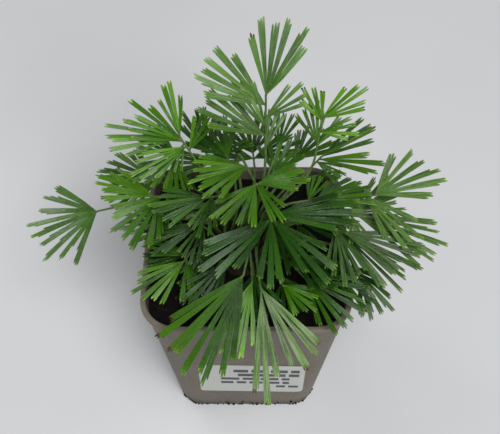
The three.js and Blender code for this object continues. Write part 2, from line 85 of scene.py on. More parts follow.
# Each frond, as in the frame: root (distance, direction) on the crown, hub above the peat,
# axis (heading, pitch, roll), length of the straight stretch, and fans of
# (back, turn, spread, reach, blades, fused share, cup).
FRONDS = [
    ((4, 75), (8, 26, 70), (90, 60, 0), 26, [
        (0, -14, 63, 32, 6, 0.42, 0), (4, 55, 54, 33, 6, 0.45, 8),
        (17, 62, 46, 31, 5, 0.42, -8), (22, -13, 46, 18, 4, 0.4, -12),
        (9, -52, 44, 20, 4, 0.4, 4), (13, 30, 40, 24, 4, 0.4, 6)]),
    ((7, 45), (32, 30, 53), (75, 55, 0), 16, [
        (0, -47, 51, 22, 5, 0.4, 0), (1, 31, 66, 16, 4, 0.4, 8),
        (11, 24, 60, 18, 5, 0.4, -6), (12, -33, 22, 18, 2, 0.5, -8),
        (6, -75, 50, 17, 4, 0.4, 0)]),
    ((9, 28), (33, 28, 31), (30, 40, 0), 8, [
        (0, -19, 36, 29, 4, 0.42, 6), (1.5, -50, 28, 32, 3, 0.4, -6),
        (3, -72, 40, 17, 4, 0.4, 4)]),
    ((7, 140), (-28, 24, 48), (130, 30, 0), 8, [
        (0, 61, 40, 32, 6, 0.4, 0), (0, -20, 40, 25, 4, 0.4, 6),
        (1.5, 18, 30, 28, 3, 0.4, -6), (2.5, 46, 30, 27, 4, 0.4, 12),
        (3, 128, 40, 14, 3, 0.3, -10), (5, 85, 44, 26, 5, 0.4, -4),
        (7, -60, 40, 22, 4, 0.4, 0)]),
    ((9, 165), (-40, 8, 28), (180, 6, 0), 10, [
        (0, -15, 60, 26, 6, 0.45, 6), (3, 55, 90, 27, 7, 0.42, -8),
        (6, 100, 50, 14, 4, 0.42, 4)]),
    ((11, 175), (-65, 6, 20), (190, -8, 0), 10, [
        (0, 7, 124, 32, 9, 0.37, 0)]),
    ((10, 12), (55, 7, 30), (8, 5, 0), 12, [
        (0, 22, 84, 32, 6, 0.35, 4), (4, -60, 50, 30, 5, 0.38, -4)]),
    ((10, -30), (39, -8, 24), (-22, -12, 0), 6, [
        (0, -16, 38, 35, 6, 0.4, 0), (2, -62, 44, 26, 5, 0.4, 6)]),
    ((12, -35), (48, -18, 9), (-55, -20, 0), 6, [
        (0, -6, 62, 23, 5, 0.4, 0)]),
    ((12, -52), (25, -27, 16), (-50, -10, 0), 6, [
        (0, 17, 94, 28, 8, 0.36, 0)]),
    ((12, -68), (15, -31, 18), (-60, -8, 0), 5, [
        (0, 25, 80, 17, 5, 0.45, 0)]),
    ((10, -62), (6, -38, 24), (-80, -35, 0), 6, [
        (0, -5, 20, 47, 3, 0.4, 0), (1.5, 27, 30, 40, 4, 0.42, 4)]),
    ((9, -105), (-1, -34, 30), (-105, -30, 0), 6, [
        (0, -20, 60, 46, 9, 0.4, 0)]),
    ((12, -140), (-26, -19, 18), (-125, -12, 0), 6, [
        (0, -17, 62, 25, 6, 0.42, 4), (1.5, 45, 38, 23, 4, 0.5, -6),
        (3, -75, 40, 22, 4, 0.42, 6)]),
    ((12, -158), (-20, -6, 26), (-160, -8, 0), 6, [
        (0, 0, 50, 24, 5, 0.45, 0), (2, 55, 50, 20, 5, 0.42, 4)]),
    ((1, -60), (4, -4, 50), (-70, 5, 0), 15, [
        (0, -55, 74, 24, 5, 0.42, -4), (0, 81, 58, 22, 4, 0.6, 6),
        (1.5, 15, 34, 22, 3, 0.45, -10), (11, -92, 90, 25, 7, 0.42, 4)]),
    ((5, -60), (10, -17, 44), (-80, -10, 0), 6, [
        (0, -61, 44, 35, 5, 0.45, 0), (1, -10, 26, 33, 3, 0.45, -4),
        (0, 36, 36, 34, 4, 0.45, 0), (1.5, 84, 40, 36, 5, 0.5, 6)]),
    ((9, -14), (48, 1, 23), (0, -5, 0), 8, [
        (0, -21, 50, 40, 6, 0.4, 0), (3, 45, 40, 30, 4, 0.4, 6),
        (6, 12, 40, 27, 5, 0.4, 6), (3, -80, 46, 20, 4, 0.42, 10)]),
    ((10, 147), (-32, 25, 33), (200, 0, 0), 6, [
        (0, 16, 66, 21, 5, 0.45, 0), (1, 75, 50, 22, 5, 0.45, -6),
        (2, -60, 50, 24, 5, 0.45, 8)]),
    ((5.5, -88), (2.5, -32, 22), (-87, -25, 0), 5, [
        (0, -21, 44, 31, 6, 0.5, 0)]),
    ((6, -165), (-5, 3, 31), (-165, -5, 0), 4, [
        (0, 6, 44, 23, 4, 0.5, 0)]),
    ((7, -45), (12, -4, 25), (-65, -6, 0), 4, [
        (0, -6, 44, 25, 4, 0.5, 0)]),
    ((10, -125), (-14, -10, 17), (-140, -15, 0), 4, [
        (0, 21, 62, 23, 6, 0.45, 0)]),
    ((12, -172), (-30, 2, 15), (-172, -6, 0), 4, [
        (0, 4, 70, 19, 6, 0.42, 0), (2, -60, 44, 18, 4, 0.42, 4)]),
    ((11, -42), (34, -16, 15), (-40, -12, 0), 4, [
        (0, 2, 60, 29, 6, 0.42, 0)]),
    ((10, 120), (-18, 34, 26), (120, 12, 0), 8, [
        (0, -20, 70, 27, 6, 0.42, 0), (5, 60, 60, 25, 5, 0.42, -6),
        (3, -85, 50, 22, 5, 0.42, 4)]),
    ((8, 95), (3, 40, 20), (95, 5, 0), 8, [
        (0, 5, 100, 27, 7, 0.4, 0), (3, -70, 55, 24, 5, 0.42, 6),
        (3, 75, 55, 24, 5, 0.42, 6)]),
    ((10, 65), (23, 40, 16), (62, 0, 0), 8, [
        (0, -8, 80, 26, 6, 0.42, 0)]),
    ((13, 151), (-43, 27, 18), (152, 0, 0), 8, [
        (0, 0, 90, 25, 7, 0.42, 0), (3, 70, 50, 24, 5, 0.42, 6)]),
    ((11, 45), (32, 29, 17), (10, 5, 0), 3, [
        (0, 7, 60, 12, 3, 0.45, 0)]),
    ((12, 135), (-23, 24, 13), (160, 15, 0), 3, [
        (0, -15, 70, 10, 3, 0.45, 0)]),
    ((12, 115), (-15, 26, 11), (130, 20, 0), 3, [
        (0, -15, 50, 9, 3, 0.45, 0)]),
    ((12, 165), (-31, 13, 11), (180, 15, 0), 3, [
        (0, 4, 64, 10, 3, 0.45, 0)]),
    ((12, 22), (29, 2, 33), (10, 0, 0), 6, [
        (0, 0, 46, 26, 5, 0.38, 0), (2, -52, 40, 22, 4, 0.4, -4),
        (3, 60, 50, 16, 4, 0.4, 4)]),
    ((7, -22), (40, -11, 28), (-20, -6, 0), 6, [
        (0, 0, 52, 36, 6, 0.38, 0), (3, -55, 44, 26, 5, 0.4, -2)]),
    ((7.5, -179), (-16, 0, 37), (185, -4, 0), 5, [
        (0, 5, 70, 24, 6, 0.42, 0), (2, 70, 50, 20, 5, 0.42, -2)]),
    ((10.5, 133), (-8, 22, 37), (110, 15, 0), 5, [
        (0, 10, 90, 24, 7, 0.42, 0)]),
    ((12, 85), (12, 24, 25), (72, 5, 0), 5, [
        (0, 0, 90, 22, 6, 0.42, 0)]),
    ((13, 0), (24, 4, 14), (0, 0, 0), 4, [
        (0, 8, 84, 22, 6, 0.42, 0), (2, -62, 50, 16, 4, 0.42, -5)]),
    ((13.2, -25), (22, -12, 10), (-20, 0, 0), 3, [
        (0, 0, 70, 18, 5, 0.42, 0)]),
    ((13, -165), (-28, -10, 9), (190, 0, 0), 4, [
        (0, 0, 70, 17, 5, 0.42, 0)]),
    ((13, -115), (-13, -16, 8), (-120, -5, 0), 3, [
        (0, 0, 90, 21, 7, 0.42, 0)]),
    ((13, -80), (3, -20, 11), (-85, -8, 0), 3, [
        (0, 0, 80, 21, 7, 0.42, 0)]),
    ((13.2, -44), (16, -20, 7), (-70, 0, 0), 3, [
        (0, 0, 90, 19, 6, 0.42, 0)]),
    ((13, 12), (31, 12, 22), (20, 0, 0), 5, [
        (0, 0, 80, 24, 6, 0.42, 0)]),
    ((9, -178), (-34, 0, 22), (180, -4, 0), 5, [
        (0, -3, 60, 21, 5, 0.42, 0)]),
    ((7.5, -114), (-8, -22, 21), (-110, -14, 0), 4, [
        (0, -18, 60, 24, 6, 0.42, 0)]),
    ((9, -52), (21, -17, 20), (-42, 0, 0), 4, [
        (0, 2, 70, 22, 6, 0.42, 0)]),
    ((9, 75), (14, 26, 40), (70, 20, 0), 5, [
        (0, 10, 60, 18, 5, 0.42, 0)]),
]

# How light each frond is, from 0 to 1: partly the frond's own tone and partly painted shade, with
# the lower fronds set darker
TONES_AND_SHADE = [
    0.40, 0.65, 0.35, 0.65, 0.40, 0.40, 0.50, 0.05, 0.05, 0.08,
    0.50, 0.25, 0.22, 0.30, 0.20, 0.50, 0.06, 0.35, 0.45, 1.00,
    0.10, 0.00, 0.00, 0.15, 0.00, 0.25, 0.20, 0.30, 0.35, 0.45,
    0.35, 0.35, 0.35, 0.20, 0.05, 0.20, 0.20, 0.25, 0.00, 0.00,
    0.05, 0.00, 0.00, 0.00, 0.20, 0.20, 0.05, 0.00, 0.20,
]

# How much painted sheen some fronds get, from 0 to 1: a pale grey-green tint standing in for the
# light they reflect
PAINTED_SHEEN = {1: 0.3, 3: 0.08, 6: 0.1, 7: 0.45, 8: 0.3, 12: 0.7, 18: 0.5, 35: 0.3, 45: 0.2}

# How deep the teeth are on fronds with blunter blades, as a share of the others
BLUNT = {1: 0.6, 2: 0.4, 12: 0.3, 13: 0.3, 17: 0.6, 20: 0.5}

# Blades with brown ends: (frond, fan from 0) to the blades from 0
BROWNED = {
    (1, 0): (5,), (2, 0): (0, 2, 4), (2, 1): (0, 2, 3), (3, 0): (1,), (4, 0): (4,), (5, 0): (0, 5),
    (5, 1): (0,), (9, 0): (1,), (12, 0): (0,),
    (12, 1): (1, 3), (13, 0): (0, 1, 2), (18, 0): (0,), (25, 0): (1,), (26, 0): (2,),
    (28, 0): (6,), (35, 0): (1,),
}

# ---------------------------------------------------------------- camera, light and floor

CAMERA_TILT = 52  # degrees below the horizon
CAMERA_PLACE = (1.6, -227.8, 402.3)
SENSOR = 36
LENS = 62.35
FLOOR_WIDTH = 10000

# Lights, in metres and watts: name, place, size, power and colour
LIGHTS = [
    ("key_light", (0.4, -1.0, 1.8), 1.1, 31, (1, 0.99, 0.97)),
    ("window_light", (1.0, -1.8, 0.9), 1.0, 12, (0.98, 0.99, 1)),
    ("side_light", (-1.3, 0.9, 1.7), 0.8, 6, (1, 1, 1)),
    ("back_light", (-1.0, 1.7, 0.45), 0.9, 9, (1, 1, 1)),
]
LIGHT_AIM = (0, 0, 0.1)
SKY_COLOUR = (0.93, 0.96, 1, 1)
SKY_STRENGTH = 0.17


def make_camera():
    data = bpy.data.cameras.new("camera")
    data.sensor_width = SENSOR
    data.lens = LENS
    data.clip_start = 0.01
    camera = bpy.data.objects.new("camera", data)
    bpy.context.scene.collection.objects.link(camera)
    camera.location = Vector(CAMERA_PLACE) * MM
    camera.rotation_euler = (math.radians(90 - CAMERA_TILT), 0, 0)
    bpy.context.scene.camera = camera


def area_light(name, place, size, power, colour):
    data = bpy.data.lights.new(name, "AREA")
    data.shape = "DISK"
    data.size = size
    data.energy = power
    data.color = colour
    light = bpy.data.objects.new(name, data)
    bpy.context.scene.collection.objects.link(light)
    light.location = place
    ahead = Vector(LIGHT_AIM) - Vector(place)
    light.rotation_euler = ahead.to_track_quat("-Z", "Y").to_euler()


def make_studio():
    for light in LIGHTS:
        area_light(*light)
    world = bpy.data.worlds.new("studio")
    bpy.context.scene.world = world
    world.use_nodes = True
    background = world.node_tree.nodes["Background"]
    background.inputs["Color"].default_value = SKY_COLOUR
    background.inputs["Strength"].default_value = SKY_STRENGTH
    bpy.context.scene.view_settings.view_transform = "Standard"


make_camera()
make_studio()

# ---------------------------------------------------------------- mesh helpers


class Build:
    """Vertices in millimetres, faces with a material number, and two sets of values per vertex."""

    def __init__(self):
        self.points = []
        self.values = []
        self.tints = []
        self.faces = []
        self.slots = []

    def point(self, place, value=(0, 0, 0), tint=(0, 0, 0)):
        self.points.append(tuple(place))
        self.values.append(tuple(value))
        self.tints.append(tuple(tint))
        return len(self.points) - 1

    def face(self, corners, slot=0):
        self.faces.append(tuple(corners))
        self.slots.append(slot)

    def rings(self, rings, slot=0, closed=True):
        """Joins rings of point numbers, each as long as the next, with quads."""
        for low, high in zip(rings, rings[1:]):
            count = len(low)
            for i in range(count if closed else count - 1):
                j = (i + 1) % count
                self.face((low[i], low[j], high[j], high[i]), slot)

    def to_object(self, name, materials, sharp=40):
        mesh = bpy.data.meshes.new(name)
        mesh.from_pydata([Vector(p) * MM for p in self.points], [], self.faces)
        for material in materials:
            mesh.materials.append(material)
        mesh.polygons.foreach_set("material_index", self.slots)
        mesh.polygons.foreach_set("use_smooth", [True] * len(self.faces))
        for carried, sets in (("grain", self.values), ("tint", self.tints)):
            data = mesh.attributes.new(carried, "FLOAT_VECTOR", "POINT").data
            data.foreach_set("vector", [v for values in sets for v in values])
        mesh.set_sharp_from_angle(angle=math.radians(sharp))
        mesh.update()
        made = bpy.data.objects.new(name, mesh)
        bpy.context.scene.collection.objects.link(made)
        return made


def finish_piece(piece, slot, *nodes):
    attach(piece, "root")
    if nodes:
        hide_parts(*nodes)


def lump(place, size, seed=0):
    """Even noise between -1 and 1 with lumps about size across."""
    return noise.noise(Vector(place) / size + Vector((seed, 2 * seed, 3 * seed)))


# ---------------------------------------------------------------- materials


class Shader:
    """A material with a Principled surface and short ways to add the nodes that feed it."""

    def __init__(self, name, **fixed):
        self.material = bpy.data.materials.new(name)
        self.material.use_nodes = True
        self.tree = self.material.node_tree
        self.surface = self.tree.nodes["Principled BSDF"]
        for key, value in fixed.items():
            self.surface.inputs[key.replace("_", " ")].default_value = value

    def node(self, kind, links=None, values=None, **settings):
        made = self.tree.nodes.new("ShaderNode" + kind)
        for key, value in settings.items():
            setattr(made, key, value)
        for key, value in (values or {}).items():
            made.inputs[key].default_value = value
        for key, source in (links or {}).items():
            self.tree.links.new(source, made.inputs[key])
        return made

    def place(self):
        """Object coordinates in millimetres."""
        coordinates = self.node("TexCoord").outputs["Object"]
        scaled = self.node("VectorMath", {0: coordinates}, {1: (1000, 1000, 1000)},
                           operation="MULTIPLY")
        return scaled.outputs[0]

    def grain(self, name="grain"):
        """Three of the values that the mesh carries."""
        carried = self.node("Attribute", attribute_name=name)
        return self.node("SeparateXYZ", {0: carried.outputs["Vector"]}).outputs

    def noise(self, place, scale, detail=3, roughness=0.55):
        made = self.node("TexNoise", {"Vector": place},
                         {"Scale": scale, "Detail": detail, "Roughness": roughness})
        return made.outputs["Fac"]

    def math(self, operation, first, second=0.0):
        links, values = {}, {}
        for key, value in ((0, first), (1, second)):
            if isinstance(value, (int, float)):
                values[key] = value
            else:
                links[key] = value
        return self.node("Math", links, values, operation=operation).outputs[0]

    def ramp(self, value, low, high, to_low=0.0, to_high=1.0):
        made = self.node("MapRange", {"Value": value}, {
            "From Min": low, "From Max": high, "To Min": to_low, "To Max": to_high,
        }, interpolation_type="SMOOTHSTEP")
        return made.outputs["Result"]

    def mix(self, share, first, second):
        made = self.node("Mix", data_type="RGBA")
        for key, value in ((0, share), (6, first), (7, second)):
            if isinstance(value, (int, float)):
                made.inputs[key].default_value = value
            elif isinstance(value, tuple):
                made.inputs[key].default_value = (*value, 1)
            else:
                self.tree.links.new(value, made.inputs[key])
        return made.outputs[2]

    def colour(self, source):
        self.tree.links.new(source, self.surface.inputs["Base Color"])

    def roughness(self, source):
        self.tree.links.new(source, self.surface.inputs["Roughness"])

    def bump(self, height, depth, strength=1.0):
        """Relief of the given depth in millimetres."""
        made = self.node("Bump", {"Height": height},
                         {"Strength": strength, "Distance": depth * MM})
        self.tree.links.new(made.outputs[0], self.surface.inputs["Normal"])


VEINS = 2.5  # veins per strip
# painted sheen: the pale grey-green laid over the fronds that are given a sheen share
SHEEN_PAINT = (0.30, 0.40, 0.20)
TIP_BROWN = (0.06, 0.030, 0.011)
# The darkest and the lightest leaf, each as its deep, middle, pale and tip colour; the darkest
# partly stands for painted shade on the lower fronds
DARK_LEAF = ((0.004, 0.024, 0.001), (0.009, 0.054, 0.001),
             (0.020, 0.095, 0.002), (0.09, 0.20, 0.02))
LIGHT_LEAF = ((0.034, 0.130, 0.001), (0.068, 0.225, 0.002),
              (0.170, 0.400, 0.010), (0.34, 0.54, 0.04))


def leaf_material(name, gloss):
    """Leaf: grain x counts strips across a fan, y runs from hub to tip, z is a blade's own chance;
    tint x is how light the leaf is, partly painted shade, y how much painted sheen it gets."""
    shader = Shader(name, Specular_IOR_Level=0.38, Subsurface_Weight=0.06,
                    Subsurface_Radius=(0.4, 1.0, 0.15), Subsurface_Scale=0.0008)
    place = shader.place()
    across, along, chance = shader.grain()
    tint, painted_sheen, _ = shader.grain("tint")
    long_way = shader.node("CombineXYZ", {0: shader.math("MULTIPLY", across, 1.3),
                                          1: shader.math("MULTIPLY", along, 2.2)})
    streaks = shader.noise(long_way.outputs[0], 1.6, 3)
    patches = shader.noise(place, 0.09)
    mottle = shader.noise(place, 0.9, 4)
    fine = shader.noise(place, 3.5, 3)
    veins = shader.math("SINE", shader.math("MULTIPLY", across, 2 * math.pi * VEINS))
    ribs = shader.math("ABSOLUTE", shader.math("SINE", shader.math("MULTIPLY", across, math.pi)))
    deep, mid, pale, tip = (shader.mix(tint, dark, light)
                            for dark, light in zip(DARK_LEAF, LIGHT_LEAF))
    colour = shader.mix(shader.ramp(patches, 0.35, 0.65), deep, mid)
    # blades paler at random: partly their own tone, partly painted sheen that differs from blade to
    # blade
    colour = shader.mix(shader.ramp(chance, 0.3, 0.84, 0, 0.6), colour, pale)
    colour = shader.mix(shader.ramp(veins, -1, 1, 0, 0.14), colour, pale)
    colour = shader.mix(shader.ramp(ribs, 0.3, 0, 0, 0.22), colour, pale)
    colour = shader.mix(shader.ramp(mottle, 0.52, 0.75, 0, 0.35), colour, deep)
    colour = shader.mix(shader.ramp(along, 0.6, 0.95, 0, 0.3), colour, pale)
    # painted sheen: pale streaks along the blades, in place of the reflection of the lights
    sheen_mask = shader.math("MULTIPLY", painted_sheen, shader.ramp(streaks, 0.38, 0.62, 0.1, 1))
    colour = shader.mix(sheen_mask, colour, SHEEN_PAINT)
    ends = shader.math("ADD", along, shader.ramp(mottle, 0.3, 0.7, -0.02, 0.03))
    colour = shader.mix(shader.ramp(ends, 0.9, 1.0, 0, 0.8), colour, tip)
    brown = shader.math("MULTIPLY", shader.ramp(ends, 0.92, 0.96), shader.ramp(chance, 0.86, 0.9))
    colour = shader.mix(brown, colour, TIP_BROWN)
    shader.colour(colour)
    shader.roughness(shader.ramp(mottle, 0.3, 0.7, gloss, gloss + 0.12))
    relief = shader.math("ADD", shader.math("MULTIPLY", veins, 0.35), mottle)
    shader.bump(shader.math("ADD", relief, shader.math("MULTIPLY", fine, 0.5)), 0.07, 0.8)
    return shader.material


def stipe_material():
    """Stem: grain y runs from the root to the hub."""
    shader = Shader("stipe", Specular_IOR_Level=0.5)
    place = shader.place()
    _, along, chance = shader.grain()
    streaks = shader.noise(place, 0.8, 4)
    colour = shader.mix(shader.ramp(streaks, 0.35, 0.65), (0.035, 0.08, 0.01), (0.08, 0.15, 0.02))
    reach = shader.math("ADD", along, shader.math("MULTIPLY", chance, 0.15))
    colour = shader.mix(shader.ramp(reach, 0.1, 0.4, 1, 0), colour, (0.035, 0.02, 0.01))
    shader.colour(colour)
    shader.roughness(shader.ramp(streaks, 0.3, 0.7, 0.4, 0.6))
    shader.bump(streaks, 0.1)
    return shader.material


def pot_material():
    shader = Shader("pot_plastic", Specular_IOR_Level=0.45)
    place = shader.place()
    height = shader.node("SeparateXYZ", {0: place}).outputs[2]
    cloud = shader.noise(place, 0.035, 4)
    speck = shader.noise(place, 0.9, 5, 0.7)
    colour = shader.mix(shader.ramp(cloud, 0.35, 0.65),
                        (0.110, 0.092, 0.069), (0.138, 0.115, 0.087))
    # painted highlight: the top of the pot lightens towards the rim, where the lip catches the
    # light
    colour = shader.mix(shader.ramp(height, 84, 92, 0, 0.35), colour, (0.24, 0.205, 0.17))
    grime = shader.math("MULTIPLY", shader.ramp(height, 0, 8, 1, 0),
                        shader.ramp(shader.noise(place, 0.3, 5, 0.7), 0.4, 0.52))
    colour = shader.mix(shader.math("MULTIPLY", grime, 0.9), colour, (0.02, 0.014, 0.01))
    dots = shader.math("MULTIPLY", shader.ramp(speck, 0.69, 0.74),
                       shader.ramp(height, 0, 60, 1, 0.25))
    colour = shader.mix(dots, colour, (0.05, 0.035, 0.025))
    shader.colour(colour)
    shader.roughness(shader.ramp(speck, 0.35, 0.65, 0.44, 0.6))
    shader.bump(shader.noise(place, 2.2, 4), 0.03, 0.5)
    return shader.material


def film_material(name, colour, rough):
    shader = Shader(name, Specular_IOR_Level=0.4)
    fibres = shader.noise(shader.place(), 1.4, 4)
    worn = tuple(0.86 * part for part in colour)
    shader.colour(shader.mix(shader.ramp(fibres, 0.4, 0.7, 0, 0.6), colour, worn))
    shader.roughness(shader.ramp(fibres, 0.3, 0.7, rough, rough + 0.15))
    shader.bump(fibres, 0.01)
    return shader.material


def peat_material():
    """Peat: grain z is a crumb's own chance, and 0 on the bed."""
    shader = Shader("peat", Specular_IOR_Level=0.2)
    place = shader.place()
    chance = shader.grain()[2]
    coarse = shader.noise(place, 0.35, 5, 0.7)
    fine = shader.noise(place, 2.6, 5, 0.75)
    colour = shader.mix(shader.ramp(coarse, 0.35, 0.7),
                        (0.003, 0.0025, 0.002), (0.009, 0.0065, 0.0045))
    colour = shader.mix(shader.ramp(fine, 0.62, 0.74, 0, 0.8), colour, (0.05, 0.033, 0.02))
    colour = shader.mix(shader.ramp(chance, 0.7, 1, 0, 0.85), colour, (0.08, 0.055, 0.035))
    shader.colour(colour)
    shader.roughness(shader.ramp(fine, 0.3, 0.7, 0.75, 1.0))
    shader.bump(shader.math("ADD", coarse, fine), 0.5)
    return shader.material


def crown_material():
    """Crown: grain z is a scale's own chance, and 0 on the mound."""
    shader = Shader("crown_wood", Specular_IOR_Level=0.4)
    place = shader.place()
    chance = shader.grain()[2]
    bark = shader.noise(place, 0.7, 5, 0.7)
    colour = shader.mix(shader.ramp(bark, 0.35, 0.7), (0.010, 0.006, 0.004), (0.04, 0.022, 0.011))
    colour = shader.mix(shader.ramp(chance, 0.3, 1, 0, 0.8), colour, (0.08, 0.043, 0.018))
    shader.colour(colour)
    shader.roughness(shader.ramp(bark, 0.3, 0.7, 0.6, 0.9))
    shader.bump(bark, 0.4)
    return shader.material


def floor_material():
    shader = Shader("floor_paint", Roughness=0.75, Specular_IOR_Level=0.2)
    cloud = shader.noise(shader.place(), 0.004)
    shader.colour(shader.mix(shader.ramp(cloud, 0.3, 0.7), (0.66, 0.67, 0.69), (0.70, 0.71, 0.73)))
    return shader.material


# ---------------------------------------------------------------- pot, label, peat and crown

ARC_STEPS = 12  # steps in each rounded corner
PEAT_CRUMBS = 1100
STRAY_CRUMBS = 420
CRUMB_REACH = 1.2  # how far a crumb may reach from its middle, in its own size
FOOT_DIRT = 6  # most of the loose peat clings below this height
FOOT_SHARE = 0.88
DIRT_TOP = 80
CROWN_SCALES = 150
CROWN_SIDES = 40
CROWN_RINGS = 14
GOLDEN_ANGLE = 2.39996
body_width = POT_WIDTH - 2 * LIP_REACH
body_corner = LIP_CORNER - LIP_REACH


def rounded_square(width, corner, z):
    inner = width / 2 - corner
    points = []
    for quarter in range(4):
        sides = ((1, 1), (-1, 1), (-1, -1), (1, -1))[quarter]
        for i in range(ARC_STEPS + 1):
            angle = (quarter + i / ARC_STEPS) * math.pi / 2
            points.append((
                sides[0] * inner + corner * math.cos(angle),
                sides[1] * inner + corner * math.sin(angle),
                z,
            ))
    return points


def body_outline(z, offset):
    """The pot's tapering wall at a height, set out (or in, when negative) by offset."""
    share = z / POT_HEIGHT
    width = BASE_WIDTH + (body_width - BASE_WIDTH) * share + 2 * offset
    corner = BASE_CORNER + (body_corner - BASE_CORNER) * share + offset
    return rounded_square(width, corner, z)


def cut(piece, cutter):
    """Cuts the cutter, a closed object, out of the piece and removes it."""
    modifier = piece.modifiers.new("cut", "BOOLEAN")
    modifier.operation = "DIFFERENCE"
    modifier.solver = "EXACT"
    modifier.object = cutter
    bpy.context.view_layer.objects.active = piece
    bpy.ops.object.modifier_apply(modifier=modifier.name)
    bpy.data.objects.remove(cutter)


def make_pot(material):
    build = Build()
    under_lip = POT_HEIGHT - LIP_DEPTH
    foot = 1.2  # radius of the foot's edge
    edge = 0.4  # radius of the lip's edges
    rings = [body_outline(0, -4), body_outline(0, -foot)]
    for i in range(1, 5):
        turn = i / 4 * math.pi / 2
        rings.append(body_outline(foot * (1 - math.cos(turn)), -foot * (1 - math.sin(turn))))
    rings += [body_outline(z, 0) for z in (20, 50, 75, under_lip - 1.2)]
    rings.append(body_outline(under_lip - 0.3, 0.15))
    rings.append(body_outline(under_lip, 0.5))
    for out, z in ((-edge, under_lip), (0, under_lip + edge), (0, POT_HEIGHT - edge),
                   (-0.3 * edge, POT_HEIGHT - 0.3 * edge), (-edge, POT_HEIGHT)):
        rings.append(rounded_square(POT_WIDTH + 2 * out, LIP_CORNER + out, z))
    rings.append(body_outline(POT_HEIGHT, -WALL + edge))
    rings += [body_outline(z, -WALL) for z in (POT_HEIGHT - edge, 70, 40, FLOOR + 1)]
    rings += [body_outline(FLOOR + 0.3, -WALL - 0.3), body_outline(FLOOR, -WALL - 1)]
    numbers = [[build.point(p) for p in ring] for ring in rings]
    build.rings(numbers)
    build.face(list(reversed(numbers[0])))
    build.face(numbers[-1])
    pot = build.to_object("pot_shell", [material], 30)
    holes = Build()
    for i in range(DRAIN_HOLES):
        middle = (i + 0.5) * 2 * math.pi / DRAIN_HOLES
        hole = []
        for z in (-FLOOR, 2 * FLOOR):
            hole.append([holes.point((
                DRAIN_RING * math.cos(middle) + DRAIN_RADIUS * math.cos(turn),
                DRAIN_RING * math.sin(middle) + DRAIN_RADIUS * math.sin(turn), z,
            )) for turn in (j * math.pi / 12 for j in range(24))])
        holes.rings(hole)
        holes.face(list(reversed(hole[0])))
        holes.face(hole[1])
    cut(pot, holes.to_object("drain_cutter", [material]))
    finish_piece(pot, "pot_plastic", "pot")


def wall_spot(x, z, offset):
    """The point on the pot's front wall at x and z, set out by offset."""
    share = z / POT_HEIGHT
    half = (BASE_WIDTH + (body_width - BASE_WIDTH) * share) / 2 + offset
    corner = BASE_CORNER + (body_corner - BASE_CORNER) * share + offset
    into = max(abs(x) - (half - corner), 0)
    return x, -(half - corner) - math.sqrt(corner * corner - into * into), z - LABEL_SLANT * x


def wall_patch(build, left, right, foot, top, low, high, slot, corner=0.0):
    """A thin sheet that follows the front wall, between two offsets from it."""
    steps_x = max(2, round((right - left) / 1.2))
    steps_z = max(2, round((top - foot) / 1.2))
    layers = []
    for offset in (low, high):
        rows = []
        for j in range(steps_z + 1):
            z = foot + (top - foot) * j / steps_z
            near = min(z - foot, top - z, corner)
            inset = corner - math.sqrt(max(corner ** 2 - (corner - near) ** 2, 0))
            first, last = left + inset, right - inset
            rows.append([build.point(wall_spot(first + (last - first) * i / steps_x, z, offset))
                         for i in range(steps_x + 1)])
        layers.append(rows)
    inner, outer = layers
    build.rings(outer, slot, closed=False)
    build.rings([list(reversed(row)) for row in inner], slot, closed=False)

    def border(rows):
        up = [row[-1] for row in rows[1:-1]]
        down = [row[0] for row in rows[-2:0:-1]]
        return rows[0] + up + list(reversed(rows[-1])) + down
    build.rings([border(inner), border(outer)], slot)


def make_label(film, ink):
    build = Build()
    wall_patch(build, LABEL_LEFT, LABEL_RIGHT, LABEL_FOOT, LABEL_TOP, 0.08, 0.3, 0, 1.0)
    chance = random.Random(5)
    lines = [  # height of the line's middle, its own height, where it starts
        (45.6, 3.2, -6), (40.9, 3.2, -4), (36.2, 2.7, -12), (31.6, 2.7, -12), (27.0, 2.5, 14),
    ]
    for middle, tall, start in lines:
        x = start
        while x < LABEL_RIGHT - 6:
            word = chance.uniform(3, 9)
            end = min(x + word, LABEL_RIGHT - 2.5)
            wall_patch(build, x, end, middle - tall / 2, middle + tall / 2, 0.29, 0.33, 1)
            x = end + 1.5
    finish_piece(build.to_object("label_sheet", [film, ink]), "label_film", "label")


def crumb(build, middle, size, chance, value):
    """A small irregular lump."""
    turn = Matrix.Rotation(chance.uniform(0, 6.28), 3, Vector((
        chance.uniform(-1, 1), chance.uniform(-1, 1), chance.uniform(0.1, 1))).normalized())
    stretch = Vector((1, chance.uniform(0.6, 1), chance.uniform(0.45, 0.8)))
    rings = []
    for i in range(1, 4):
        lean = i * math.pi / 4
        ring = []
        for j in range(6):
            angle = j * math.pi / 3 + 0.5 * i
            bulge = size * chance.uniform(0.75, 1.15)
            spot = Vector((math.sin(lean) * math.cos(angle), math.sin(lean) * math.sin(angle),
                           math.cos(lean))) * bulge
            spot = turn @ Vector(a * b for a, b in zip(spot, stretch))
            ring.append(build.point(Vector(middle) + spot, value))
        rings.append(ring)
    for side, ring in ((1, rings[0]), (-1, rings[-1])):
        pole = build.point(Vector(middle) + turn @ Vector((0, 0, side * size * stretch.z)), value)
        for j in range(6):
            pair = (ring[j], ring[(j + 1) % 6])
            build.face((pole, *(pair if side > 0 else reversed(pair))))
    build.rings([list(reversed(ring)) for ring in rings])


def peat_height(x, y):
    return SOIL_TOP - 0.9 + 1.1 * lump((x, y, 0), 16, 1) + 0.9 * lump((x, y, 0), 4, 2) \
        + 0.5 * lump((x, y, 0), 1.6, 3)


